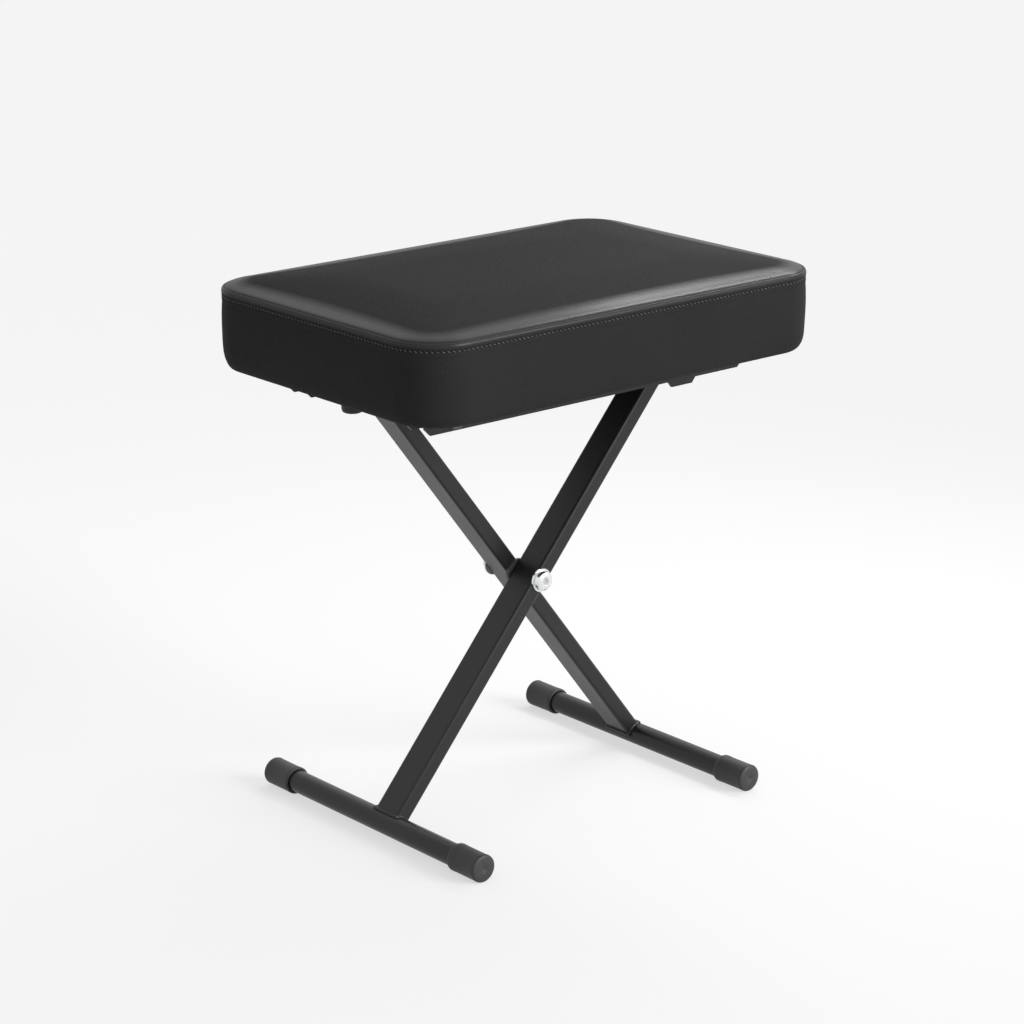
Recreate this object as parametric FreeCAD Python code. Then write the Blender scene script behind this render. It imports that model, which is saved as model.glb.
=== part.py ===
import FreeCAD, Part
import math
import os
from FreeCAD import Placement, Rotation, Vector

# Folding keyboard bench: a padded seat on two steel legs that cross at one bolt.
# Millimetres. X runs along the seat, Y across it and Z up, from the floor under the seat's centre.
# Front is the -Y side and left is the -X side. Leg A stands on the left foot, leg B on the right one.

# Seat cushion
seat_length = 450.0
seat_width = 306.0
seat_corner = 45.0        # upright corners
seat_bottom = 403.0       # lower edge of the cover above the floor
band_height = 68.0        # side band, from the lower edge to the top seam
crown_rise = 9.0          # middle of the top above the seam
crown_run = 80.0          # how far in from the edge the top is still rising
crown_chords = 6          # straight pieces to each corner of the crown
cover_wall = 1.0
cover_turn_in = 28.0      # cover turned in under the board
foam_gap = 0.3            # between the foam and what holds it

# Seat board and what is fixed in it
board_thick = 12.0
board_inset = 9.0         # from the outside of the cover to the board's edge
screw_dia = 6.0
screw_head_flats = 10.0
screw_head_thick = 3.0
tee_nut_flats = 8.6
dust_cover_hole = 10.4     # square holes cut in the cloth for the screws
tee_flange_flats = 16.0
tee_flange_thick = 1.5
staple_crown = 11.0
staple_wire = 0.7
staple_leg = 6.0
staple_pitch = 48.0
staple_edge = 6.0         # from the cover's inner edge to the staples
fit_gap = 0.1             # fixed pieces that slide together
run_gap = 0.05            # pieces that turn in each other

# Seat rails: two folded channels under the board, notched on their inner walls
rail_sheet = 2.0
rail_width = 26.0
rail_depth = 24.0
rail_middle = 80.0        # from the seat's middle line to the middle of a rail
rail_left = -179.0
rail_right = 182.0
rail_bend = 2.4
rail_end_cut = 6.0
hinge_wall_length = 62.0  # full depth of the inner wall round the hinge
rack_tip_drop = 9.0       # tooth tips below the cover's lower edge
rack_crown_drop = 3.0     # notch crowns below it
notch_pitch = 25.0
notch_count = 3
notch_gap = 0.3           # between the bar and a notch
tooth_pass = 0.9          # between the bar and the tooth tips it passes under
tab_from_right = 73.0     # middle of the pull-down tab on the outer wall
tab_length = 32.0
tab_drop = 5.0
tab_slant = 4.0
screw_places = (-95.0, 84.0)

# Cross bars at the tops of the legs
bar_dia = 16.0
hinge_bar_x = -146.0
hinge_bar_drop = 12.0     # axis below the cover's lower edge
rest_bar_x = 155.5
rest_bar_wall = 2.0
rest_bar_half = 86.5      # from the seat's middle line to the end of the tube
plug_flange = 1.5
plug_length = 9.0
bush_wall = 1.0
bush_flange_dia = 22.0
bush_flange_thick = 1.5
end_washer_dia = 20.0
end_washer_thick = 1.5
end_screw_dia = 6.0
end_screw_head_flats = 10.0
end_screw_head_thick = 3.3
end_screw_grip = 12.0

# Legs
leg_deep = 15.0           # seen from the front
leg_wide = 30.0           # across the bench
leg_wall = 1.5
leg_corner = 2.5
leg_gap = 3.0             # between the two legs, taken up by the spacer
weld_gap = 0.1
weld_size = 2.2

# Feet
foot_left_x = -163.0
foot_right_x = 149.0
foot_length = 295.0       # over both caps
foot_dia = 20.0
foot_wall = 1.5
cap_dia = 24.8
cap_length = 35.0
cap_end = 4.0

# Pivot bolt
bolt_dia = 8.0
bolt_head_dia = 18.0
bolt_head_thick = 5.5
bolt_head_edge = 2.4
bolt_socket_flats = 6.0
bolt_socket_deep = 3.4
washer_dia = 21.0
washer_thick = 1.6
spacer_dia = 24.0
sleeve_wall = 1.5
nut_flats = 13.0
nut_thick = 6.0
nut_collar_dia = 11.4
nut_collar_thick = 2.2
bolt_past_nut = 1.5

# Rubber bumper that the folded left foot comes up against
bumper_x = -168.0
bumper_y = 17.0
bumper_dia = 20.0
bumper_drop = 27.2
bumper_screw_dia = 4.5
bumper_head_dia = 9.0
bumper_head_thick = 2.6
bumper_recess = 8.0
bumper_grip = 9.0

along_y = Vector(0, 1, 0)
board_bottom = seat_bottom + cover_wall
board_top = board_bottom + board_thick
seam_height = seat_bottom + band_height
rail_inner_face = rail_middle - rail_width / 2
rail_outer_face = rail_middle + rail_width / 2
foot_height = cap_dia / 2
hinge_bar_z = seat_bottom - hinge_bar_drop
rest_bar_z = seat_bottom - rack_tip_drop - tooth_pass - bar_dia / 2
bar_radius = bar_dia / 2
foot_left = Vector(foot_left_x, 0, foot_height)
foot_right = Vector(foot_right_x, 0, foot_height)
hinge_axis = Vector(hinge_bar_x, 0, hinge_bar_z)
rest_axis = Vector(rest_bar_x, 0, rest_bar_z)
leg_a_front = -leg_gap / 2 - leg_wide
leg_b_front = leg_gap / 2

os.makedirs("parts", exist_ok=True)


def save(name, solids):
    shape = solids if isinstance(solids, Part.Shape) else Part.makeCompound(solids)
    shape.exportStep("parts/" + name + ".step")
    print(name, len(shape.Solids), round(shape.Volume, 1), shape.isValid())


def crossing():
    """Point where the two leg axes cross, in the XZ plane."""
    up_a = rest_axis - foot_left
    up_b = hinge_axis - foot_right
    gap = foot_right - foot_left
    share = (gap.x * up_b.z - gap.z * up_b.x) / (up_a.x * up_b.z - up_a.z * up_b.x)
    return foot_left + up_a * share


pivot = crossing()


def disc(radius, y, thick, centre):
    """Cylinder along Y that starts at y, on the axis through centre."""
    return Part.makeCylinder(radius, thick, Vector(centre.x, y, centre.z), along_y)


def ring(outer, inner, y, thick, centre):
    return disc(outer, y, thick, centre).cut(disc(inner, y - 1, thick + 2, centre))


def hexagon(flats, y, thick, centre):
    reach = flats / math.sqrt(3)
    corners = [Vector(centre.x + reach * math.cos(math.radians(60 * k + 30)), y,
                      centre.z + reach * math.sin(math.radians(60 * k + 30))) for k in range(7)]
    return Part.Face(Part.makePolygon(corners)).extrude(along_y * thick)


def upright(radius, x, y, z, tall):
    return Part.makeCylinder(radius, tall, Vector(x, y, z))


def upright_hexagon(flats, x, y, z, tall):
    """Hexagonal prism that stands at x, y and starts at height z."""
    block = hexagon(flats, 0, tall, Vector(0, 0, 0))
    block.Placement = Placement(Vector(x, y, z), Rotation(Vector(1, 0, 0), 90))
    return block


def rounded_outline(length, width, corner, z):
    """Rectangle with round corners, centred on the Z axis."""
    x, y = length / 2, width / 2
    mid = corner * (1 - math.sqrt(0.5))
    edges = []
    for sx, sy in ((1, 1), (-1, 1), (-1, -1), (1, -1)):
        side = Vector(sx * x, sy * (y - corner), z)
        end = Vector(sx * (x - corner), sy * y, z)
        middle = Vector(sx * (x - mid), sy * (y - mid), z)
        first, last = (side, end) if sx * sy > 0 else (end, side)
        if edges:
            edges.append(Part.makeLine(edges[-1].Vertexes[-1].Point, first))
        edges.append(Part.Arc(first, middle, last).toShape())
    edges.append(Part.makeLine(edges[-1].Vertexes[-1].Point, edges[0].Vertexes[0].Point))
    return Part.Wire(edges)


def rounded_slab(length, width, corner, z, thick):
    return Part.Face(rounded_outline(length, width, corner, z)).extrude(Vector(0, 0, thick))


def crown_outline(length, width, corner, z):
    """Closed polygon that follows a rectangle with round corners."""
    points = []
    for quarter in range(4):
        sx, sy = ((1, 1), (-1, 1), (-1, -1), (1, -1))[quarter]
        for k in range(crown_chords + 1):
            turn = math.radians(90 * (quarter + k / crown_chords))
            points.append(Vector(sx * (length / 2 - corner) + corner * math.cos(turn),
                                 sy * (width / 2 - corner) + corner * math.sin(turn), z))
    return Part.makePolygon(points + points[:1])


def cushion_form(skin):
    """Outer shape of the cushion, taken in by skin on every side."""
    length, width = seat_length - 2 * skin, seat_width - 2 * skin
    corner = seat_corner - skin
    bottom = seat_bottom + skin
    band = rounded_slab(length, width, corner, bottom, seam_height - bottom)
    rise = crown_rise - skin
    rows = ((0.0, 0.0), (0.18, 0.5), (1.0, 1.0))
    outlines = [crown_outline(length - 2 * crown_run * inward, width - 2 * crown_run * inward,
                              corner * (1 - 0.5 * inward), seam_height + rise * up)
                for inward, up in rows]
    return band.fuse(Part.makeLoft(outlines, True, True))


def screw_spots():
    return [(x, side * rail_middle) for side in (-1, 1) for x in screw_places]


def opening_slab(gap, z, thick):
    """The window that the turned-in cover leaves under the board, smaller by gap."""
    shrink = 2 * (cover_turn_in + gap)
    return rounded_slab(seat_length - shrink, seat_width - shrink, seat_corner - cover_turn_in, z, thick)


def make_cover():
    cover = cushion_form(0).cut(cushion_form(cover_wall))
    save("seat_cover", cover.cut(opening_slab(0, seat_bottom - 1, cover_wall + 2)))


def make_foam():
    space = rounded_slab(seat_length - 2 * (board_inset - foam_gap), seat_width - 2 * (board_inset - foam_gap),
                         seat_corner - board_inset, seat_bottom, board_top + foam_gap - seat_bottom)
    save("foam_pad", cushion_form(cover_wall + foam_gap).cut(space))


def make_board():
    board = rounded_slab(seat_length - 2 * board_inset, seat_width - 2 * board_inset,
                         seat_corner - board_inset, board_bottom, board_thick)
    for x, y in screw_spots():
        board = board.cut(upright_hexagon(tee_nut_flats + 2 * fit_gap, x, y, board_bottom - 1, board_thick + 2))
        pocket = upright_hexagon(tee_flange_flats + 2 * fit_gap, x, y, board_top - tee_flange_thick,
                                 tee_flange_thick + 1)
        board = board.cut(pocket)
    grip = bumper_grip + fit_gap - cover_wall
    save("base_board", board.cut(upright(bumper_screw_dia / 2 + fit_gap, bumper_x, bumper_y,
                                         board_bottom, grip)))


def make_dust_cover():
    sheet = opening_slab(fit_gap, seat_bottom, cover_wall)
    for x, y in screw_spots() + [(bumper_x, bumper_y)]:
        half = dust_cover_hole / 2
        sheet = sheet.cut(Part.makeBox(dust_cover_hole, dust_cover_hole, cover_wall + 2,
                                       Vector(x - half, y - half, seat_bottom - 1)))
    save("dust_cover", sheet)


def staple(x, y, turned):
    half = staple_crown / 2
    crown = Part.makeBox(staple_crown, staple_wire, staple_wire,
                         Vector(-half, -staple_wire / 2, seat_bottom - staple_wire))
    leg = Part.makeBox(staple_wire, staple_wire, staple_leg + staple_wire,
                       Vector(-half, -staple_wire / 2, seat_bottom - staple_wire))
    far_leg = leg.translated(Vector(staple_crown - staple_wire, 0, 0))
    piece = crown.fuse([leg, far_leg]).removeSplitter()
    piece.Placement = Placement(Vector(x, y, 0), Rotation(Vector(0, 0, 1), turned))
    return piece


def staple_row(reach):
    """Places along one side, evenly spread and about one pitch apart."""
    steps = max(1, round(2 * reach / staple_pitch))
    return [-reach + 2 * reach * k / steps for k in range(steps + 1)]


def make_staples():
    line = cover_turn_in - staple_edge
    x, y = seat_length / 2 - line, seat_width / 2 - line
    staples = [staple(place, side * y, 0) for side in (-1, 1) for place in staple_row(x - seat_corner)]
    staples += [staple(side * x, place, 90) for side in (-1, 1) for place in staple_row(y - seat_corner)]
    save("cover_staples", staples)


def tee_nut(x, y):
    body = upright_hexagon(tee_nut_flats, x, y, seat_bottom, board_top - seat_bottom)
    body = body.fuse(upright_hexagon(tee_flange_flats, x, y, board_top - tee_flange_thick, tee_flange_thick))
    return body.cut(upright(screw_dia / 2 + run_gap, x, y, seat_bottom - 1, board_thick + 4))


def rail_screw(x, y):
    under = seat_bottom - rail_sheet
    head = upright_hexagon(screw_head_flats, x, y, under - screw_head_thick, screw_head_thick)
    return head.fuse(upright(screw_dia / 2, x, y, under, board_top - tee_flange_thick - under))


def make_rail_fixings():
    save("tee_nuts", [tee_nut(x, y) for x, y in screw_spots()])
    save("rail_screws", [rail_screw(x, y) for x, y in screw_spots()])


def notch_places():
    return [rest_bar_x - notch_pitch * k for k in range(notch_count)]


def side_plate(points, y):
    """Sheet of the rail's thickness, from points (x, drop below the cover) and starting at y."""
    corners = [Vector(x, y, seat_bottom - drop) for x, drop in points]
    return Part.Face(Part.makePolygon(corners + corners[:1])).extrude(along_y * rail_sheet)


def lower_corners(plate, drop, places):
    return [e for e in plate.Edges
            if abs(e.BoundBox.YLength - rail_sheet) < 0.01 and e.BoundBox.XLength < 0.01
            and abs(e.BoundBox.ZMax - (seat_bottom - drop)) < 0.01
            and min(abs(e.BoundBox.XMax - x) for x in places) < 0.01]


def outer_wall(y):
    tab = rail_right - tab_from_right
    low = rail_depth + tab_drop
    points = [(rail_left, 0), (rail_right, 0), (rail_right, rail_depth),
              (tab + tab_length / 2, rail_depth), (tab + tab_length / 2 - tab_slant, low),
              (tab - tab_length / 2 + tab_slant, low), (tab - tab_length / 2, rail_depth),
              (rail_left, rail_depth)]
    plate = side_plate(points, y)
    return plate.makeChamfer(rail_end_cut, lower_corners(plate, rail_depth, (rail_left, rail_right)))


def inner_wall(y):
    step = rail_left + hinge_wall_length
    points = [(rail_left, 0), (rail_right, 0), (rail_right, rack_tip_drop), (step, rack_tip_drop),
              (step, rail_depth), (rail_left, rail_depth)]
    plate = side_plate(points, y)
    plate = plate.makeChamfer(rail_end_cut, lower_corners(plate, rail_depth, (rail_left, step)))
    radius = bar_radius + notch_gap
    for x in notch_places():
        crown = Vector(x, 0, seat_bottom - rack_crown_drop - radius)
        plate = plate.cut(disc(radius, y - 1, rail_sheet + 2, crown))
    return plate


def seat_rail(side):
    """Folded channel: flat top against the board, full outer wall, stepped and notched inner wall."""
    inner = min(side * rail_inner_face, side * (rail_inner_face + rail_sheet))
    outer = min(side * rail_outer_face, side * (rail_outer_face - rail_sheet))
    top = Part.makeBox(rail_right - rail_left, rail_width, rail_sheet,
                       Vector(rail_left, side * rail_middle - rail_width / 2, seat_bottom - rail_sheet))
    rail = top.fuse([outer_wall(outer), inner_wall(inner)]).removeSplitter()
    bends = [e for e in rail.Edges if e.BoundBox.XLength > 0.9 * (rail_right - rail_left)
             and abs(e.BoundBox.ZMax - seat_bottom) < 0.01]
    rail = rail.makeFillet(min(rail_bend, 1.2 * rail_sheet), bends)
    hole = disc(bar_radius + run_gap + bush_wall, -rail_outer_face - 1, 2 * rail_outer_face + 2, hinge_axis)
    rail = rail.cut(hole)
    for x in screw_places:
        rail = rail.cut(upright(screw_dia / 2 + fit_gap, x, side * rail_middle, seat_bottom - 2 * rail_sheet,
                                2 * rail_sheet + 1))
    return rail


def make_rails():
    save("seat_rail_front", seat_rail(-1))
    save("seat_rail_rear", seat_rail(1))


def hinge_bush(side):
    """Flanged sleeve through both walls of one rail, its flange on the outside."""
    inner = bar_radius + run_gap
    sleeve = disc(inner + bush_wall, min(side * rail_inner_face, side * rail_outer_face), rail_width, hinge_axis)
    out = rail_outer_face + bush_flange_thick
    flange = disc(bush_flange_dia / 2, min(side * rail_outer_face, side * out), bush_flange_thick, hinge_axis)
    return sleeve.fuse(flange).cut(disc(inner, -out - 1, 2 * out + 2, hinge_axis))


def make_bushes():
    save("hinge_bushes", [hinge_bush(-1), hinge_bush(1)])


def make_bumper():
    tip = seat_bottom - bumper_drop
    body = upright(bumper_dia / 2, bumper_x, bumper_y, tip, bumper_drop)
    body = body.cut(upright(bumper_head_dia / 2 + fit_gap, bumper_x, bumper_y, tip - 1, bumper_recess + 1))
    save("fold_bumper", body.cut(upright(bumper_screw_dia / 2 + fit_gap, bumper_x, bumper_y, tip, bumper_drop)))
    seat = tip + bumper_recess
    head = upright(bumper_head_dia / 2, bumper_x, bumper_y, seat - bumper_head_thick, bumper_head_thick)
    shank = upright(bumper_screw_dia / 2, bumper_x, bumper_y, seat, seat_bottom + bumper_grip - seat)
    save("bumper_screw", head.fuse(shank).removeSplitter())


def leg_placement(foot, top):
    run = top - foot
    return Placement(foot, Rotation(along_y, math.degrees(math.atan2(run.x, run.z))))


def leg_block(deep, wide, front, tall):
    return Part.makeBox(deep, wide, tall, Vector(-deep / 2, front, 0))


def leg_section(front, tall):
    """Outside of a leg tube, with its round corners."""
    bar = leg_block(leg_deep, leg_wide, front, tall)
    return bar.makeFillet(leg_corner, [e for e in bar.Edges if abs(e.BoundBox.ZLength - tall) < 0.01])


def leg_tube(foot, top, front):
    """Rectangular tube from the foot tube to the cross bar, coped at both ends and bored for its sleeve."""
    length = (top - foot).Length
    tube = leg_section(front, length)
    tube = tube.cut(leg_block(leg_deep - 2 * leg_wall, leg_wide - 2 * leg_wall, front + leg_wall, length))
    tube = tube.cut(disc(foot_dia / 2 + weld_gap, front - 1, leg_wide + 2, Vector(0, 0, 0)))
    tube = tube.cut(disc(bar_radius + weld_gap, front - 1, leg_wide + 2, Vector(0, 0, length)))
    tube.Placement = leg_placement(foot, top)
    return tube.cut(disc(bolt_dia / 2 + run_gap + sleeve_wall + run_gap, front - 1, leg_wide + 2, pivot))


def weld_collar(foot, top, front, radius, at_top):
    """Fillet weld that follows the saddle where a leg meets a round tube."""
    length = (top - foot).Length
    end = Vector(0, 0, length if at_top else 0)
    reach = radius + weld_size
    block = leg_block(leg_deep + 2 * weld_size, leg_wide + 2 * weld_size, front - weld_size, reach)
    if at_top:
        block.translate(Vector(0, 0, length - reach))
    block = block.common(disc(reach, front - 9, leg_wide + 18, end))
    block = block.cut(disc(radius, front - 9, leg_wide + 18, end))
    block = block.cut(leg_section(front, length))
    block.Placement = leg_placement(foot, top)
    return block


def make_leg(name, foot, top, front):
    save("leg_" + name + "_tube", leg_tube(foot, top, front))
    save("leg_" + name + "_welds", [weld_collar(foot, top, front, foot_dia / 2, False),
                                    weld_collar(foot, top, front, bar_radius, True)])
    save("leg_" + name + "_sleeve", ring(bolt_dia / 2 + run_gap + sleeve_wall, bolt_dia / 2 + run_gap,
                                         front, leg_wide, pivot))


def foot_cap(foot, side):
    """Rubber cup pushed over the end of a foot tube."""
    end = side * foot_length / 2
    start = min(end, end - side * cap_length)
    cap = disc(cap_dia / 2, start, cap_length, foot)
    bore_start = min(end - side * cap_end, end - side * (cap_length + 1))
    return cap.cut(disc(foot_dia / 2 + run_gap, bore_start, cap_length + 1 - cap_end, foot))


def make_foot(name, foot):
    half = foot_length / 2 - cap_end
    save("foot_tube_" + name, ring(foot_dia / 2, foot_dia / 2 - foot_wall, -half, 2 * half, foot))
    save("foot_cap_" + name + "_front", foot_cap(foot, -1))
    save("foot_cap_" + name + "_rear", foot_cap(foot, 1))


def make_rest_bar():
    inner = bar_radius - rest_bar_wall
    save("rest_bar", ring(bar_radius, inner, -rest_bar_half, 2 * rest_bar_half, rest_axis))
    plugs = []
    for side in (-1, 1):
        flange = disc(bar_radius, min(side * rest_bar_half, side * (rest_bar_half + plug_flange)),
                      plug_flange, rest_axis)
        stem = disc(inner - run_gap, min(side * rest_bar_half, side * (rest_bar_half - plug_length)),
                    plug_length, rest_axis)
        plugs.append(flange.fuse(stem).removeSplitter())
    save("rest_bar_plugs", plugs)


def make_hinge_bar():
    """Solid bar that turns in the rails, held endways by a screw and a washer at each end."""
    half = rail_outer_face + bush_flange_thick + run_gap
    bar = disc(bar_radius, -half, 2 * half, hinge_axis)
    washers, screws = [], []
    for side in (-1, 1):
        hole = min(side * (half + 1), side * (half - end_screw_grip - 1))
        bar = bar.cut(disc(end_screw_dia / 2 + run_gap, hole, end_screw_grip + 2, hinge_axis))
        washer = min(side * half, side * (half + end_washer_thick))
        washers.append(ring(end_washer_dia / 2, end_screw_dia / 2 + fit_gap, washer, end_washer_thick, hinge_axis))
        out = half + end_washer_thick
        head = hexagon(end_screw_head_flats, min(side * out, side * (out + end_screw_head_thick)),
                       end_screw_head_thick, hinge_axis)
        shank = disc(end_screw_dia / 2, min(side * out, side * (half - end_screw_grip)),
                     end_screw_grip + end_washer_thick, hinge_axis)
        screws.append(head.fuse(shank).removeSplitter())
    save("hinge_bar", bar)
    save("hinge_end_washers", washers)
    save("hinge_end_screws", screws)


def make_pivot():
    """Bolt through both legs, turning with leg A, with the spacer between them and a lock nut behind."""
    front = leg_a_front
    rear = leg_b_front + leg_wide + run_gap
    bore = bolt_dia / 2 + run_gap
    nut_start = rear + washer_thick
    nut_end = nut_start + nut_thick + nut_collar_thick
    head_start = front - washer_thick - bolt_head_thick
    head = disc(bolt_head_dia / 2, head_start, bolt_head_thick, pivot)
    rim = [e for e in head.Edges if e.BoundBox.YLength < 0.01 and abs(e.BoundBox.YMax - head_start) < 0.01]
    head = head.makeChamfer(bolt_head_edge, rim)
    head = head.cut(hexagon(bolt_socket_flats, head_start - 1, bolt_socket_deep + 1, pivot))
    shank_start = front - washer_thick
    shank = disc(bolt_dia / 2, shank_start, nut_end + bolt_past_nut - shank_start, pivot)
    save("pivot_bolt", head.fuse(shank).removeSplitter())
    save("bolt_head_washer", ring(washer_dia / 2, bore, front - washer_thick, washer_thick, pivot))
    save("leg_spacer", ring(spacer_dia / 2, bore, -leg_gap / 2, leg_gap - run_gap, pivot))
    save("nut_washer", ring(washer_dia / 2, bore, rear, washer_thick, pivot))
    nut = hexagon(nut_flats, nut_start, nut_thick, pivot)
    nut = nut.fuse(disc(nut_collar_dia / 2, nut_start + nut_thick, nut_collar_thick, pivot))
    save("lock_nut", nut.cut(disc(bore, nut_start - 1, nut_end - nut_start + 2, pivot)))


make_cover()
make_foam()
make_board()
make_dust_cover()
make_staples()
make_rail_fixings()
make_rails()
make_bushes()
make_bumper()
make_leg("a", foot_left, rest_axis, leg_a_front)
make_leg("b", foot_right, hinge_axis, leg_b_front)
make_foot("left", foot_left)
make_foot("right", foot_right)
make_rest_bar()
make_hinge_bar()
make_pivot()
print("pivot", round(pivot.x, 3), round(pivot.z, 3), "rest bar z", round(rest_bar_z, 3))
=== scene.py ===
import math
import bmesh
import bpy
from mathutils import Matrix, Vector, kdtree, noise


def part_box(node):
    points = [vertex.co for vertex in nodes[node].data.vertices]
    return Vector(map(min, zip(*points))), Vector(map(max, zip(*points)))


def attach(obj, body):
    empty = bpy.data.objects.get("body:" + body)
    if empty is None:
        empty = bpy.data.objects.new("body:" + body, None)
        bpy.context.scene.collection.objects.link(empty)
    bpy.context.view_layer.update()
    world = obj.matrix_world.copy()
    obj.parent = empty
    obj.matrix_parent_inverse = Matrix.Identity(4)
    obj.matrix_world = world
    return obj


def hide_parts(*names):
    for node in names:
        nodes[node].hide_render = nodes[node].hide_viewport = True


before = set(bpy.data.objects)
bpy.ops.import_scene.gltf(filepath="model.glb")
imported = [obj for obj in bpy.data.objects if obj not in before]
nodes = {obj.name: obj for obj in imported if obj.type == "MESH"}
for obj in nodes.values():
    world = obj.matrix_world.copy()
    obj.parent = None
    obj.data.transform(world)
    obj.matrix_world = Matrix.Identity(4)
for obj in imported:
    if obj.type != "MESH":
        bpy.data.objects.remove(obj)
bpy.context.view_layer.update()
mm = 0.001
print("frame loaded", len(nodes), "nodes")

studio = {
    "target": (-0.0049, 0.0014, 0.2591), "eye": (-1.7099, -1.9903, 1.0608), "lens": 109.5,
    "surround": 0.46,  # what the sky gives besides the white that the lens sees
    "suns": {  # where from, strength, softness in degrees
        "keySun": ((0.9, -1.9, 0.75), 3.0, 35),
        "backSun": ((0.9, 1.2, 1.4), 0.15, 40),
    },
    "stripAt": (0.75, 0.05, 0.95), "stripAim": (0.05, -0.15, 0.47), "stripSize": (0.9, 0.12), "stripPower": 5.0,
    "floorSize": 40.0, "floorWhite": 0.6,  # the second is the share of plain white
    "floorCloud": 0.7, "floorDim": 0.93, "floorPale": 0.95,  # size of the faint clouds and their two greys
}


def aimed(thing, place, target):
    thing.location = place
    thing.rotation_mode = "QUATERNION"
    thing.rotation_quaternion = (Vector(target) - Vector(place)).to_track_quat("-Z", "Y")
    bpy.context.scene.collection.objects.link(thing)


def makeCamera():
    lens = bpy.data.cameras.new("camera")
    lens.lens, lens.sensor_width = studio["lens"], 36
    lens.clip_start, lens.clip_end = 0.05, 100
    camera = bpy.data.objects.new("camera", lens)
    aimed(camera, studio["eye"], studio["target"])
    bpy.context.scene.camera = camera
    bpy.context.scene.view_settings.view_transform = "Standard"


def makeLights():
    for name, (place, strength, softness) in studio["suns"].items():
        sun = bpy.data.lights.new(name, "SUN")
        sun.energy, sun.angle = strength, math.radians(softness)
        aimed(bpy.data.objects.new(name, sun), place, (0, 0, 0))
    strip = bpy.data.lights.new("softbox", "AREA")
    strip.shape, strip.energy = "RECTANGLE", studio["stripPower"]
    strip.size, strip.size_y = studio["stripSize"]
    aimed(bpy.data.objects.new("softbox", strip), studio["stripAt"], studio["stripAim"])


class Wire:  # one output socket: a sum written on it adds a Math node
    def __init__(self, finish, socket):
        self.finish, self.socket = finish, socket

    def join(self, operation, first, second):
        return self.finish.node("Math", {"operation": operation}, {0: first, 1: second})

    def __add__(self, other):
        return self.join("ADD", self, other)

    def __sub__(self, other):
        return self.join("SUBTRACT", self, other)

    def __rsub__(self, other):
        return self.join("SUBTRACT", other, self)

    def __mul__(self, other):
        return self.join("MULTIPLY", self, other)

    __radd__ = __add__
    __rmul__ = __mul__


class Finish:  # one material, or the sky, and its nodes
    def __init__(self, name, tree=None):
        self.material = bpy.data.materials.new(name) if tree is None else None
        if tree is None:
            self.material.use_nodes = True
        self.tree = tree or self.material.node_tree
        self.tree.nodes.clear()

    def node(self, kind, settings=None, sockets=None, out=0):
        made = self.tree.nodes.new("ShaderNode" + kind)
        for key, value in (settings or {}).items():
            if key == "stops":
                ramp = made.color_ramp
                while len(ramp.elements) < len(value):
                    ramp.elements.new(0.5)
                for element, (place, shade) in zip(ramp.elements, value):
                    element.position, element.color = place, (shade, shade, shade, 1)
            else:
                setattr(made, key, value)
        for key, value in (sockets or {}).items():
            if isinstance(value, Wire):
                self.tree.links.new(value.socket, made.inputs[key])
            else:
                made.inputs[key].default_value = value
        return None if out is None else Wire(self, made.outputs[out])

    def place(self, stretch=(1, 1, 1)):
        spot = self.node("TexCoord", out="Object")
        return self.node("Mapping", {}, {"Vector": spot, "Scale": stretch})

    def grain(self, place, size, detail=2.0, roughness=0.5):
        return self.node("TexNoise", {}, {"Vector": place, "Scale": 1 / size, "Detail": detail,
                                          "Roughness": roughness}, "Fac")

    def cells(self, place, size, feature="F1", jitter=1.0):
        return self.node("TexVoronoi", {"feature": feature}, {"Vector": place, "Scale": 1 / size,
                                                              "Randomness": jitter}, "Distance")

    def wobbled(self, place, size, reach):
        shift = self.node("TexNoise", {}, {"Vector": place, "Scale": 1 / size}, "Color")
        shift = self.node("VectorMath", {"operation": "SCALE"}, {0: shift, "Scale": reach})
        return self.node("VectorMath", {"operation": "ADD"}, {0: place, 1: shift})

    def ramp(self, value, *stops):
        return self.node("ValToRGB", {"stops": stops}, {0: value})

    def shade(self, dark, light, share):
        return self.node("Mix", {"data_type": "RGBA"}, {0: share, 6: (*dark, 1), 7: (*light, 1)}, 2)

    def bump(self, height, depth, under=None):
        sockets = {"Height": height, "Distance": depth}
        if under:
            sockets["Normal"] = under
        return self.node("Bump", {}, sockets)

    def close(self, sockets):
        skin = self.node("BsdfPrincipled", {}, sockets)
        self.node("OutputMaterial", {}, {"Surface": skin}, None)
        return self.material


def grey(value):
    return (value, value, value)


def whiteSeen(finish):  # 1 for the lens, for metal and for glass, 0 for the light that falls on the bench
    rays = [finish.node("LightPath", out="Is " + ray + " Ray") for ray in ("Camera", "Glossy", "Transmission")]
    return finish.node("Math", {"operation": "MINIMUM"}, {0: sum(rays, 0.0), 1: 1.0})


def makeSurround():
    world = bpy.data.worlds.new("surround")
    bpy.context.scene.world = world
    world.use_nodes = True
    sky = Finish("surround", world.node_tree)
    level = whiteSeen(sky) * (1 - studio["surround"]) + studio["surround"]
    glow = sky.node("Background", {}, {"Color": (1, 1, 1, 1), "Strength": level})
    sky.node("OutputWorld", {}, {"Surface": glow}, None)


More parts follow.
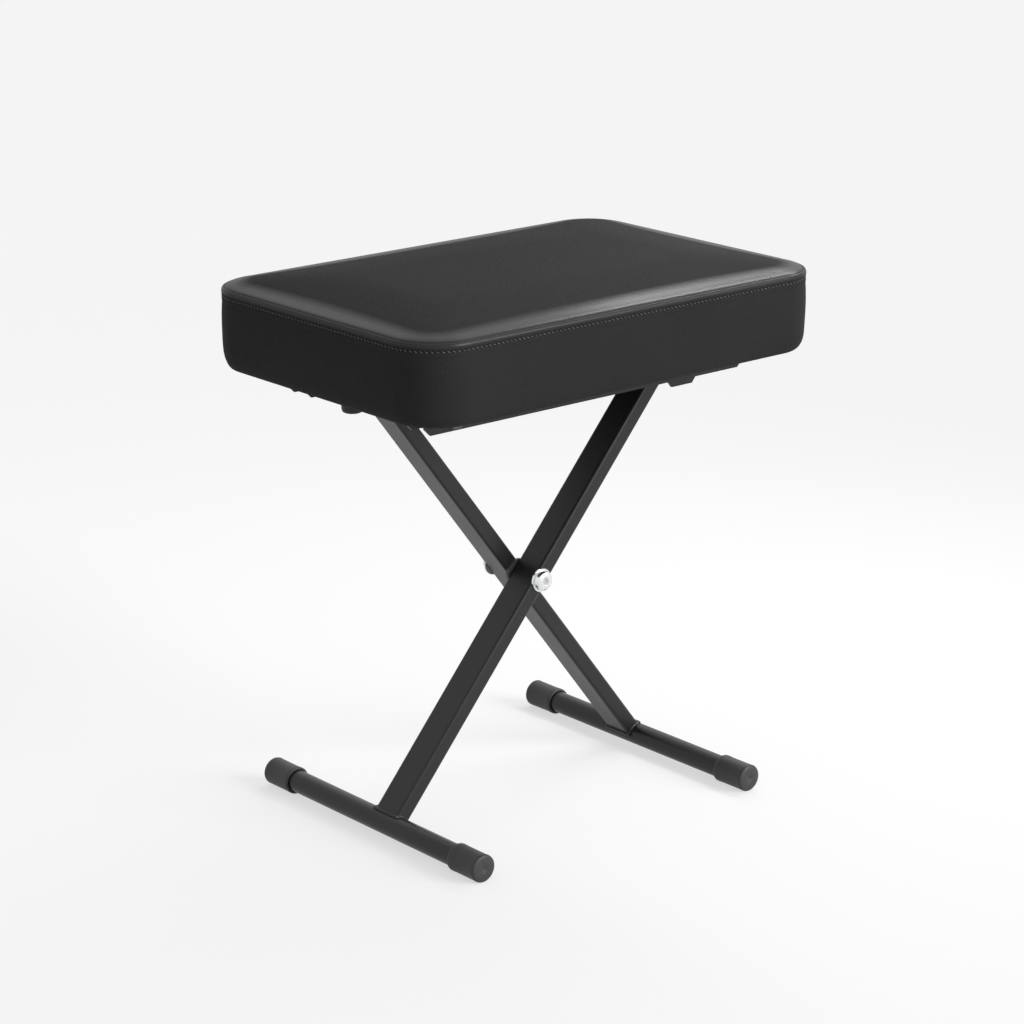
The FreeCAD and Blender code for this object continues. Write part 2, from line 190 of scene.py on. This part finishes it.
def makeFloor():
    half = studio["floorSize"] / 2
    sheet = bpy.data.meshes.new("floor")
    corners = [(-half, -half, 0), (half, -half, 0), (half, half, 0), (-half, half, 0)]
    sheet.from_pydata(corners, [], [(0, 1, 2, 3)])
    floor = bpy.data.objects.new("floor", sheet)
    bpy.context.scene.collection.objects.link(floor)
    f = Finish("paleFloor")
    cloud = f.grain(f.place(), studio["floorCloud"])
    clouded = f.shade(grey(studio["floorDim"]), grey(studio["floorPale"]), cloud)
    paper = f.node("BsdfDiffuse", {}, {"Color": clouded})
    white = f.node("Emission", {}, {"Color": (1, 1, 1, 1), "Strength": 1.0})
    share = whiteSeen(f) * studio["floorWhite"]
    mixed = f.node("MixShader", {}, {0: share, 1: paper, 2: white})
    f.node("OutputMaterial", {}, {"Surface": mixed}, None)
    sheet.materials.append(f.material)


def vinylFinish():
    look = {"black": 0.017, "worn": 0.028, "roughness": 0.62, "specular": 0.025,
            "pebble": 0.0017, "pebbleDepth": 0.00014, "pebbleEdge": 0.35, "pebbleRough": 0.08,
            "loose": 0.004, "looseReach": 0.0012, "pore": 0.0007, "poreDepth": 0.00004,
            "drift": 0.06, "driftRough": 0.12,
            "roll": 0.471, "rollReach": 0.0048, "rollFull": 0.55,  # height and reach of the smoother edge
            "rollSmooth": 0.16, "rollShine": 0.3, "shineRoughness": 0.28}
    f = Finish("blackVinyl")
    place = f.place()
    loose = f.wobbled(place, look["loose"], look["looseReach"])
    pebble = f.ramp(f.cells(loose, look["pebble"], "DISTANCE_TO_EDGE"), (0, 0), (look["pebbleEdge"], 1))
    fine = f.grain(place, look["pore"], 3, 0.6)
    drift = f.grain(place, look["drift"], 3)
    height = f.node("SeparateXYZ", {}, {0: place}, "Z")
    away = f.node("Math", {"operation": "ABSOLUTE"}, {0: height - look["roll"]})
    tight = f.ramp(away * (1 / look["rollReach"]), (look["rollFull"], 1), (1.0, 0))
    relief = f.bump(fine, look["poreDepth"], f.bump(pebble, look["pebbleDepth"]))
    rough = look["roughness"] + (drift - 0.5) * look["driftRough"] + (1 - pebble) * look["pebbleRough"]
    rough = rough - tight * look["rollSmooth"]
    return f.close({"Base Color": f.shade(grey(look["black"]), grey(look["worn"]), drift * 0.6 + pebble * 0.4),
                    "Roughness": rough, "Specular IOR Level": look["specular"], "Normal": relief,
                    "Coat Weight": tight * look["rollShine"], "Coat Roughness": look["shineRoughness"]})


def paintFinish():
    look = {"black": 0.009, "chalk": 0.015, "roughness": 0.34, "specular": 0.3,
            "peel": 0.0011, "peelDepth": 0.00004, "speck": 0.0004, "speckRough": 0.08,
            "drift": 0.05, "driftRough": 0.12}
    f = Finish("satinBlackPaint")
    place = f.place()
    peel = f.grain(place, look["peel"], 2)
    speck = f.grain(place, look["speck"], 2)
    drift = f.grain(place, look["drift"], 3)
    rough = look["roughness"] + (drift - 0.5) * look["driftRough"] + (speck - 0.5) * look["speckRough"]
    return f.close({"Base Color": f.shade(grey(look["black"]), grey(look["chalk"]), drift), "Roughness": rough,
                    "Specular IOR Level": look["specular"], "Normal": f.bump(peel, look["peelDepth"])})


def metalFinish(name, tint, roughness, brush):
    look = {"dulled": 0.82, "haze": 0.012, "hazeRough": 0.06, "brushRough": 0.16, "brushDepth": 0.00002}
    f = Finish(name)
    lines = f.grain(f.place(), brush, 3, 0.65)
    haze = f.grain(f.place(), look["haze"], 3)
    dull = f.shade(tuple(look["dulled"] * c for c in tint), tint, haze * 0.5 + lines * 0.5)
    rough = roughness + (lines - 0.5) * look["brushRough"] + haze * look["hazeRough"]
    return f.close({"Base Color": dull, "Metallic": 1.0, "Roughness": rough,
                    "Normal": f.bump(lines, look["brushDepth"])})


def woodFinish():
    look = {"light": (0.50, 0.34, 0.19), "dark": (0.30, 0.18, 0.09), "roughness": 0.6,
            "ply": 0.0026, "waveLength": 0.314, "plyUneven": 0.3,  # a wave is this long at a scale of 1
            "ring": 0.018, "fibre": 0.02, "fibreDepth": 0.00008, "fibreRough": 0.2}
    f = Finish("plyWood")
    figure = f.grain(f.place((1.0, 7.0, 1.0)), look["ring"], 5, 0.6)
    fibre = f.grain(f.place((2.0, 60.0, 2.0)), look["fibre"], 3, 0.7)
    plies = f.node("TexWave", {"wave_type": "BANDS", "bands_direction": "Z"},
                   {"Vector": f.place(), "Scale": look["waveLength"] / look["ply"],
                    "Distortion": look["plyUneven"]}, "Fac")
    tone = figure * 0.45 + fibre * 0.25 + plies * 0.3
    return f.close({"Base Color": f.shade(look["dark"], look["light"], tone),
                    "Roughness": look["roughness"] + fibre * look["fibreRough"],
                    "Normal": f.bump(fibre, look["fibreDepth"])})


def clothFinish():
    look = {"black": 0.012, "worn": 0.03, "roughness": 0.85, "specular": 0.2, "fibre": 0.0016, "dots": 0.0022,
            "dotJitter": 0.15, "dotRough": 0.1, "depth": 0.00012}
    f = Finish("blackNonwoven")
    fibre = f.grain(f.place((1, 4, 1)), look["fibre"], 3, 0.7)
    fibre = fibre + f.grain(f.place((4, 1, 1)), look["fibre"], 3, 0.7)
    dots = f.ramp(f.cells(f.place(), look["dots"], "F1", look["dotJitter"]), (0.1, 0), (0.3, 1))
    relief = f.bump(dots + fibre * 0.5, look["depth"])
    return f.close({"Base Color": f.shade(grey(look["black"]), grey(look["worn"]), fibre * 0.5),
                    "Roughness": look["roughness"] + dots * look["dotRough"],
                    "Specular IOR Level": look["specular"], "Normal": relief})


def rubberFinish(name="blackRubber", black=0.011, roughness=0.62, size=0.0008):
    look = {"haze": 0.02, "hazeLight": 1.7, "hazeRough": 0.16, "specular": 0.4, "pitDepth": 0.00005}
    f = Finish(name)
    haze = f.grain(f.place(), look["haze"], 3)
    pits = f.grain(f.place(), size, 2)
    hazy = f.shade(grey(black), grey(black * look["hazeLight"]), haze * 0.7 + pits * 0.3)
    return f.close({"Base Color": hazy, "Roughness": roughness + (haze - 0.5) * look["hazeRough"],
                    "Specular IOR Level": look["specular"], "Normal": f.bump(pits, look["pitDepth"])})


def threadFinish():
    look = {"dark": 0.04, "light": 0.10, "twist": 260.0, "uneven": 0.4, "depth": 0.00008,
            "roughness": 0.42, "twistRough": 0.1}
    f = Finish("bondedThread")
    twist = f.node("TexWave", {"bands_direction": "DIAGONAL"},
                   {"Vector": f.place(), "Scale": look["twist"], "Distortion": look["uneven"]}, "Fac")
    return f.close({"Base Color": f.shade(grey(look["dark"]), grey(look["light"]), twist),
                    "Roughness": look["roughness"] + (1 - twist) * look["twistRough"],
                    "Normal": f.bump(twist, look["depth"])})


finishes = {
    "vinyl": vinylFinish(), "paint": paintFinish(), "wood": woodFinish(), "cloth": clothFinish(),
    "rubber": rubberFinish(), "thread": threadFinish(),
    "capRubber": rubberFinish("capRubber", 0.018, 0.5, 0.0006),
    "nylon": rubberFinish("darkNylon", 0.03, 0.42, 0.0012),
    "blackSteel": metalFinish("blackOxide", grey(0.10), 0.42, 0.0006),
    "zinc": metalFinish("dullZinc", (0.62, 0.63, 0.62), 0.36, 0.0005),
    "brightZinc": metalFinish("brightZinc", (0.86, 0.87, 0.88), 0.2, 0.0004),
}
dressing = {
    "vinyl": ["seat_cover", "foam_pad"],
    "paint": ["leg_a_tube", "leg_b_tube", "leg_a_welds", "leg_b_welds", "foot_tube_left", "foot_tube_right",
              "rest_bar", "hinge_bar", "seat_rail_front", "seat_rail_rear"],
    "wood": ["base_board"], "cloth": ["dust_cover"], "rubber": ["fold_bumper"],
    "capRubber": ["foot_cap_left_front", "foot_cap_left_rear", "foot_cap_right_front", "foot_cap_right_rear",
                  "rest_bar_plugs"],
    "nylon": ["hinge_bushes", "leg_spacer"],
    "blackSteel": ["rail_screws", "hinge_end_screws", "bumper_screw", "hinge_end_washers"],
    "zinc": ["cover_staples", "tee_nuts", "leg_a_sleeve", "leg_b_sleeve", "nut_washer"],
    "brightZinc": ["pivot_bolt", "bolt_head_washer", "lock_nut"],
}


def dressFrame():
    for finish, names in dressing.items():
        for name in names:
            skins = nodes[name].data.materials
            skins.clear()
            skins.append(finishes[finish])
    left = set(nodes) - {name for names in dressing.values() for name in names}
    print("frame dressed, without a finish:", sorted(left))


cushion = {
    "length": 0.450, "width": 0.306, "corner": 0.045,
    "longSteps": 120, "shortSteps": 72, "cornerSteps": 24,
    "tightening": 25, "loosening": 0.12,  # the corners tighten 1:1 this far in, then by this share
    "across": 8,  # cells from front to back where the middle is closed
    "voxel": 0.006, "pressure": 4.0, "steps": 20, "cap": 0.0022,  # the cloth run, and how far a point may go
    "sewnHeight": 0.4685, "sewnReach": 0.005, "sewnInset": 0.012, "heldBelow": 0.408,  # what it holds still
    "near": 8, "nearness": 0.002,  # how many points of the run, and how close, pull on a place
    "crease": 0.00045, "creaseRow": 20, "creaseTop": 0.460, "creaseFade": 0.04, "creaseWaves": (26, 26, 60),
    "pleat": 0.0011, "pleats": 7, "pleatRows": 6, "pleatRise": 3,
    "stitchRow": 12, "underRow": 30,  # places in the side list: the sewn channel, the first row under the edge
    "top": [  # how far in from the side, and height, in millimetres
        (112, 480), (104, 480), (92, 479.95), (80, 479.8), (65, 479.3), (50, 478.4), (38, 477.4), (28, 476.3),
        (20, 475.2), (14, 474.2), (10, 473.4), (7, 472.7), (5, 472.1), (4.1, 471.7), (3.4, 471.2),
        (2.9, 470.6)],
    "side": [  # the seam line, the roll, the sewn channel, the band and the roll under the board's edge
        (2.7, 470.0), (2.35, 470.35), (2.05, 470.7), (1.5, 470.65), (0.9, 470.25), (0.4, 469.5), (0.1, 468.6),
        (0.0, 467.5), (0.05, 466.5), (0.25, 465.6), (0.6, 464.95), (1.15, 464.5), (1.2, 464.05), (0.7, 463.55),
        (0.35, 462.9), (0.2, 462.0), (0.2, 460.9), (0.35, 459.9), (0.55, 459.2), (0.5, 458.4), (0.35, 457),
        (0.1, 453), (-0.15, 447), (-0.25, 438), (-0.1, 428), (0.2, 420), (0.6, 414), (1.3, 410), (2.3, 406.6),
        (3.6, 403.8), (5.2, 401.6), (7.5, 400.2), (10.5, 399.7), (13.5, 400.1), (16.5, 401.3), (18.5, 402.4),
        (20.2, 403.0), (24, 403), (27, 403.02), (27.8, 403.2), (28, 403.6), (27.8, 403.95), (26, 403.97),
        (18, 403.97), (9.2, 403.97), (8.7, 404.4), (8.7, 410), (8.7, 415.9)],
    "under": [(9.5, 416.3), (30, 416.3), (70, 416.3), (112, 416.3)],
}


def ringPlaces(inset, height, corner):
    x, y = cushion["length"] / 2 - inset, cushion["width"] / 2 - inset
    cx, cy = x - corner, y - corner
    places = []
    long, short = cushion["longSteps"], cushion["shortSteps"]
    sides = [((cx, -y), (-cx, -y), long, -90), ((-x, -cy), (-x, cy), short, 180),
             ((-cx, y), (cx, y), long, 90), ((x, cy), (x, -cy), short, 0)]
    for (ax, ay), (bx, by), steps, facing in sides:
        for k in range(steps):
            share = k / steps
            places.append(Vector((ax + (bx - ax) * share, ay + (by - ay) * share, height)))
        middle = Vector((math.copysign(cx, bx), math.copysign(cy, by), height))
        for k in range(cushion["cornerSteps"]):
            turn = math.radians(facing - 90 * k / cushion["cornerSteps"])
            places.append(middle + corner * Vector((math.cos(turn), math.sin(turn), 0)))
    return places


def cushionRings(rows):
    rings = []
    tight = cushion["tightening"]
    for part in rows:
        for inset, height in cushion[part]:
            corner = cushion["corner"] - (min(inset, tight) + cushion["loosening"] * max(0, inset - tight)) * mm
            rings.append(ringPlaces(inset * mm, height * mm, corner))
    return rings


def skinned(name, rings):
    mesh = bmesh.new()
    rows = [[mesh.verts.new(p) for p in ring] for ring in rings]
    around = len(rings[0])
    for upper, lower in zip(rows, rows[1:]):
        for k in range(around):
            mesh.faces.new((upper[k], upper[(k + 1) % around], lower[(k + 1) % around], lower[k]))
    closed(mesh, rows[0])
    closed(mesh, rows[-1])
    bmesh.ops.recalc_face_normals(mesh, faces=mesh.faces)
    data = bpy.data.meshes.new(name)
    mesh.to_mesh(data)
    mesh.free()
    return data


def closed(mesh, ring):  # strips from front to back fill the middle of the last ring
    around, half, across = len(ring), len(ring) // 2, cushion["across"]
    right = cushion["longSteps"] // 2 - half // 2  # the middles of the two short sides
    left = right + half
    strips = []
    for k in range(right, left + 1):
        a, b = ring[k], ring[(2 * left - k) % around]
        inner = [] if a is b else [mesh.verts.new(a.co.lerp(b.co, n / across)) for n in range(1, across)]
        strips.append([a] + inner + ([] if a is b else [b]))
    for one, two in zip(strips, strips[1:]):
        if len(one) == 1 or len(two) == 1:
            tip, line = (one[0], two) if len(one) == 1 else (two[0], one)
            for p, q in zip(line, line[1:]):
                mesh.faces.new((tip, p, q))
        else:
            for n in range(across):
                mesh.faces.new((one[n], one[n + 1], two[n + 1], two[n]))


def shown(name, data, finish, body):
    piece = bpy.data.objects.new(name, data)
    bpy.context.scene.collection.objects.link(piece)
    data.materials.append(finishes[finish])
    for face in data.polygons:
        face.use_smooth = True
    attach(piece, body)
    return piece


def swell():  # a cloth run on a plain copy says how far the foam pushes each place of the cover
    keep = cushionRings(["top", "side"])[:len(cushion["top"]) + cushion["underRow"]]
    plain = bpy.data.objects.new("plainCushion", skinned("plainCushion", keep))
    bpy.context.scene.collection.objects.link(plain)
    remesh = plain.modifiers.new("even", "REMESH")
    remesh.mode, remesh.voxel_size = "VOXEL", cushion["voxel"]
    bpy.context.view_layer.update()
    even = bpy.data.meshes.new_from_object(plain.evaluated_get(bpy.context.evaluated_depsgraph_get()))
    plain.modifiers.clear()
    plain.data = even
    before = [v.co.copy() for v in even.vertices]
    held = plain.vertex_groups.new(name="held")
    for v in even.vertices:
        side = max(abs(v.co.x) - cushion["length"] / 2, abs(v.co.y) - cushion["width"] / 2)
        sewn = abs(v.co.z - cushion["sewnHeight"]) < cushion["sewnReach"] and side > -cushion["sewnInset"]
        if sewn or v.co.z < cushion["heldBelow"]:
            held.add([v.index], 1.0, "REPLACE")
    cloth = plain.modifiers.new("cloth", "CLOTH")
    cloth.settings.use_pressure = True
    cloth.settings.uniform_pressure_force = cushion["pressure"]
    cloth.settings.vertex_group_mass = "held"
    cloth.settings.effector_weights.gravity = 0
    scene = bpy.context.scene
    for step in range(1, cushion["steps"] + 1):
        scene.frame_set(step)
    done = plain.evaluated_get(bpy.context.evaluated_depsgraph_get()).data
    moves = []
    for v, start in zip(done.vertices, before):
        move = v.co - start
        if move.length > cushion["cap"]:
            move = move.normalized() * cushion["cap"]
        moves.append((start, move))
    scene.frame_set(1)
    bpy.data.objects.remove(plain)
    return moves


def eased(rings):  # carries the run's moves over to the cover, down to its lower edge
    moves = swell()
    tree = kdtree.KDTree(len(moves))
    for k, (start, move) in enumerate(moves):
        tree.insert(start, k)
    tree.balance()
    for ring in rings[:len(cushion["top"]) + cushion["underRow"]]:
        for k, place in enumerate(ring):
            push, total = Vector((0, 0, 0)), 0
            for start, index, distance in tree.find_n(place, cushion["near"]):
                weight = 1 / (distance + cushion["nearness"]) ** 2
                push += moves[index][1] * weight
                total += weight
            ring[k] = place + push / total
    return rings


def creased(place):  # soft creases low on the side band
    out = Vector((place.x, place.y, 0)).normalized()
    low = max(0, min(1, (cushion["creaseTop"] - place.z) / cushion["creaseFade"]))
    wave = noise.noise(Vector([c * times for c, times in zip(place, cushion["creaseWaves"])]))
    return place + out * wave * cushion["crease"] * low


def gathered(place, rows):  # pleats where the cover is folded round the corners underneath
    dx = abs(place.x) - cushion["length"] / 2 + cushion["corner"]
    dy = abs(place.y) - cushion["width"] / 2 + cushion["corner"]
    if dx <= 0 or dy <= 0:
        return place
    turn = math.atan2(dy, dx) / (math.pi / 2)
    fold = math.sin(turn * math.pi * cushion["pleats"]) ** 2 * math.sin(turn * math.pi)
    return place - Vector((0, 0, fold * cushion["pleat"] * min(1, rows / cushion["pleatRise"])))


def makeCushion():
    rings = eased(cushionRings(["top", "side", "under"]))
    first, under = len(cushion["top"]), cushion["underRow"]
    for row in range(cushion["creaseRow"], under):
        rings[first + row] = [creased(place) for place in rings[first + row]]
    for row in range(1, cushion["pleatRows"] + 1):
        rings[first + under + row] = [gathered(place, row) for place in rings[first + under + row]]
    piece = shown("seat_cushion", skinned("seat_cushion", rings), "vinyl", "seat")
    soft = piece.modifiers.new("soft", "SUBSURF")
    soft.levels = soft.render_levels = 1
    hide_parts("seat_cover", "foam_pad")
    print("cushion", len(piece.data.vertices), "points")
    return rings[first + cushion["stitchRow"]]


stitch = {"pitch": 0.0044, "length": 0.0032, "thick": 0.00045, "slant": 0.0008, "rise": 0.0009,
          "sunk": 0.0003, "rings": 6, "sides": 6}


def makeStitches(path):
    steps = [0.0]
    for a, b in zip(path, path[1:] + path[:1]):
        steps.append(steps[-1] + (b - a).length)
    count = round(steps[-1] / stitch["pitch"])
    mesh = bmesh.new()
    at = 0
    for n in range(count):
        along = steps[-1] * n / count
        while steps[at + 1] < along:
            at += 1
        here, there = path[at], path[(at + 1) % len(path)]
        place = here.lerp(there, (along - steps[at]) / (steps[at + 1] - steps[at]))
        ahead = (there - here).normalized()
        up = Vector((0, 0, 1))
        out = up.cross(ahead).normalized()
        if out.dot(Vector((place.x, place.y, 0))) < 0:
            out = -out
        rows = []
        for r in range(stitch["rings"]):
            share = r / (stitch["rings"] - 1) * 2 - 1
            lift = (1 - share ** 4) * stitch["rise"] - stitch["sunk"]
            middle = place + ahead * share * stitch["length"] / 2 + up * share * stitch["slant"] + out * lift
            size = stitch["thick"] * math.sqrt(max(0.05, 1 - share ** 6))
            rows.append([mesh.verts.new(middle + (out * math.cos(t) + up * math.sin(t)) * size)
                         for t in [2 * math.pi * s / stitch["sides"] for s in range(stitch["sides"])]])
        for upper, lower in zip(rows, rows[1:]):
            for s in range(stitch["sides"]):
                e = (s + 1) % stitch["sides"]
                mesh.faces.new((upper[s], upper[e], lower[e], lower[s]))
        mesh.faces.new(rows[0])
        mesh.faces.new(rows[-1])
    bmesh.ops.recalc_face_normals(mesh, faces=mesh.faces)
    data = bpy.data.meshes.new("seam_stitches")
    mesh.to_mesh(data)
    mesh.free()
    shown("seam_stitches", data, "thread", "seat")
    print("stitches", count)


def spun(mesh, rows, start, along, sides=40):  # rows: radius, distance along, round 0 or six-sided 1, in mm
    side = along.orthogonal().normalized()
    cross = along.cross(side)
    loops = []
    for radius, far, flats in rows:
        loop = []
        for k in range(sides):
            turn = 2 * math.pi * k / sides
            fromFlat = turn % (math.pi / 3) - math.pi / 6
            reach = radius * (1 + flats * (1 / math.cos(fromFlat) - 1))
            out = side * math.cos(turn) + cross * math.sin(turn)
            loop.append(mesh.verts.new(start + (along * far + out * reach) * mm))
        loops.append(loop)
    for one, two in zip(loops, loops[1:]):
        for k in range(sides):
            e = (k + 1) % sides
            mesh.faces.new((one[k], one[e], two[e], two[k]))
    if rows[0] != rows[-1]:
        mesh.faces.new(loops[0])
        mesh.faces.new(loops[-1])
    bmesh.ops.remove_doubles(mesh, verts=mesh.verts, dist=1e-7)


def standsFor(nodeName, name, mesh, finish, body, sharp=35):
    bmesh.ops.recalc_face_normals(mesh, faces=mesh.faces)
    data = bpy.data.meshes.new(name)
    mesh.to_mesh(data)
    mesh.free()
    piece = shown(name, data, finish, body)
    data.set_sharp_from_angle(angle=math.radians(sharp))
    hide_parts(nodeName)


def corners(nodeName):
    return [Vector(corner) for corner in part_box(nodeName)]


footCap = {
    "rows": [  # from the small dimple in the end, over the rounded rim, along the outside and back inside
        (0.6, 0.5, 0), (2.0, 0.35, 0), (2.6, 0.05, 0), (6.0, 0.0, 0), (10.2, 0.05, 0), (11.4, 0.4, 0),
        (12.1, 1.1, 0), (12.4, 2.1, 0), (12.4, 3.2, 0), (12.25, 4.0, 0), (12.2, 14.0, 0), (12.2, 29.5, 0),
        (12.4, 30.6, 0), (12.4, 33.8, 0), (12.1, 34.7, 0), (11.4, 35.0, 0), (10.5, 34.9, 0), (10.0, 34.0, 0),
        (10.0, 4.2, 0), (0.4, 4.2, 0)],
}


def makeCaps():
    for side, body in (("left", "leg_a"), ("right", "leg_b")):
        for end, turn in (("front", 1), ("rear", -1)):
            nodeName = "foot_cap_" + side + "_" + end
            low, high = corners(nodeName)
            middle = (low + high) / 2
            start = Vector((middle.x, low.y if turn > 0 else high.y, middle.z))
            mesh = bmesh.new()
            spun(mesh, footCap["rows"], start, Vector((0, turn, 0)))
            standsFor(nodeName, "cap_" + side + "_" + end, mesh, "capRubber", body)
    print("caps made")


bumper = {
    "rows": [  # from the board down to the rounded tip and up the recess round the screw
        (2.4, 0.0, 0), (9.8, 0.0, 0), (10.0, 0.5, 0), (9.9, 6.0, 0), (9.6, 14.0, 0), (9.35, 23.6, 0),
        (9.0, 25.4, 0), (8.2, 26.6, 0), (7.0, 27.2, 0), (4.9, 27.2, 0), (4.7, 26.9, 0), (4.7, 19.2, 0),
        (2.4, 19.2, 0), (2.4, 0.0, 0)],
}


def makeBumper():
    low, high = corners("fold_bumper")
    start = Vector(((low.x + high.x) / 2, (low.y + high.y) / 2, high.z))
    mesh = bmesh.new()
    spun(mesh, bumper["rows"], start, Vector((0, 0, -1)))
    standsFor("fold_bumper", "bumper_block", mesh, "rubber", "seat")
    print("bumper made")


fastener = {
    "head": [  # the bolt from the bottom of its six-sided socket over the rounded head to its shank
        (0.4, 3.4, 1), (2.98, 3.35, 1), (3.0, 0.35, 1), (3.35, 0.0, 1), (5.9, 0.0, 0), (7.0, 0.25, 0),
        (8.0, 0.95, 0), (8.7, 1.95, 0), (9.0, 3.1, 0), (9.0, 5.2, 0), (8.8, 5.5, 0), (4.0, 5.5, 0)],
    "tip": [(4.0, 0.8, 0), (3.4, 0.0, 0), (0.4, 0.0, 0)],  # measured back from the far end
    "nut": [(4.05, 0.0, 0), (5.9, 0.0, 0), (6.3, 0.25, 1), (6.5, 0.7, 1), (6.5, 5.3, 1), (6.2, 5.8, 1),
            (5.7, 6.0, 0), (5.7, 7.6, 0), (5.2, 8.2, 0), (4.05, 8.2, 0), (4.05, 0.0, 0)],
    "pivot": (0.198, 203.37), "sides": 48,  # x and z of the bolt in mm, points round it
    "sharp": 28,  # edges are sharp from this many degrees
}


def makeBolt():
    x, z = (place * mm for place in fastener["pivot"])
    low, high = corners("pivot_bolt")
    length = (high.y - low.y) / mm
    rows = fastener["head"] + [(radius, length - back, flats) for radius, back, flats in fastener["tip"]]
    for nodeName, name, form in (("pivot_bolt", "bolt_polished", rows),
                                 ("lock_nut", "nut_chamfered", fastener["nut"])):
        mesh = bmesh.new()
        start = corners(nodeName)[0].y
        spun(mesh, form, Vector((x, start, z)), Vector((0, 1, 0)), fastener["sides"])
        standsFor(nodeName, name, mesh, "brightZinc", "leg_a", fastener["sharp"])
    print("bolt and nut made")


weld = {
    "joints": {  # x and z of the round tube's middle and its radius in mm, at the foot and under the seat
        "leg_a": [((-163.0, 12.4), 10.0), ((155.5, 385.1), 8.0)],
        "leg_b": [((149.0, 12.4), 10.0), ((-146.0, 391.0), 8.0)]},
    "legMiddle": {"leg_a": -16.5, "leg_b": 16.5}, "deep": 15.0, "wide": 30.0,
    "deepSteps": 24, "wideSteps": 44, "proud": 0.25,  # how far the bead's middle stands off the tube
    "bead": 1.9, "ripple": 0.2, "rippleMiddle": 0.6, "pitch": 1.5, "drift": 0.15, "driftSize": 0.3, "sides": 10,
}


def weldPath(place, leg, radius):  # round the leg, where it meets the tube
    px, pz = fastener["pivot"]
    along = Vector((px - place[0], 0, pz - place[1])).normalized()
    side = Vector((-along.z, 0, along.x))
    middle = Vector((place[0], weld["legMiddle"][leg], place[1]))
    deep, wide = weld["deep"] / 2, weld["wide"] / 2
    turns = [(-deep, -wide), (deep, -wide), (deep, wide), (-deep, wide)]
    path = []
    for (a, b), (c, d) in zip(turns, turns[1:] + turns[:1]):
        steps = weld["deepSteps"] if a != c else weld["wideSteps"]
        for k in range(steps):
            s, y = a + (c - a) * k / steps, b + (d - b) * k / steps
            rise = math.sqrt((radius + weld["proud"]) ** 2 - s * s)
            path.append(middle + side * s + Vector((0, y, 0)) + along * rise)
    return path, along


def makeWelds():
    turns = [2 * math.pi * n / weld["sides"] for n in range(weld["sides"])]
    for leg, joints in weld["joints"].items():
        mesh = bmesh.new()
        for place, radius in joints:
            path, along = weldPath(place, leg, radius)
            loops, travelled = [], 0.0
            for k, point in enumerate(path):
                ahead = (path[(k + 1) % len(path)] - path[k - 1]).normalized()
                travelled += (point - path[k - 1]).length
                out = ahead.cross(along).normalized()
                over = out.cross(ahead)
                ripple = abs(math.sin(math.pi * travelled / weld["pitch"])) - weld["rippleMiddle"]
                drift = noise.noise(point * weld["driftSize"])
                size = weld["bead"] + weld["ripple"] * ripple + weld["drift"] * drift
                loops.append([mesh.verts.new((point + (out * math.cos(t) + over * math.sin(t)) * size) * mm)
                              for t in turns])
            for one, two in zip(loops, loops[1:] + loops[:1]):
                for n in range(weld["sides"]):
                    e = (n + 1) % weld["sides"]
                    mesh.faces.new((one[n], one[e], two[e], two[n]))
        standsFor(leg + "_welds", leg + "_beads", mesh, "paint", leg)
    print("weld beads made")


makeCamera()
makeLights()
makeSurround()
makeFloor()
dressFrame()
makeStitches(makeCushion())
makeCaps()
makeBumper()
makeBolt()
makeWelds()
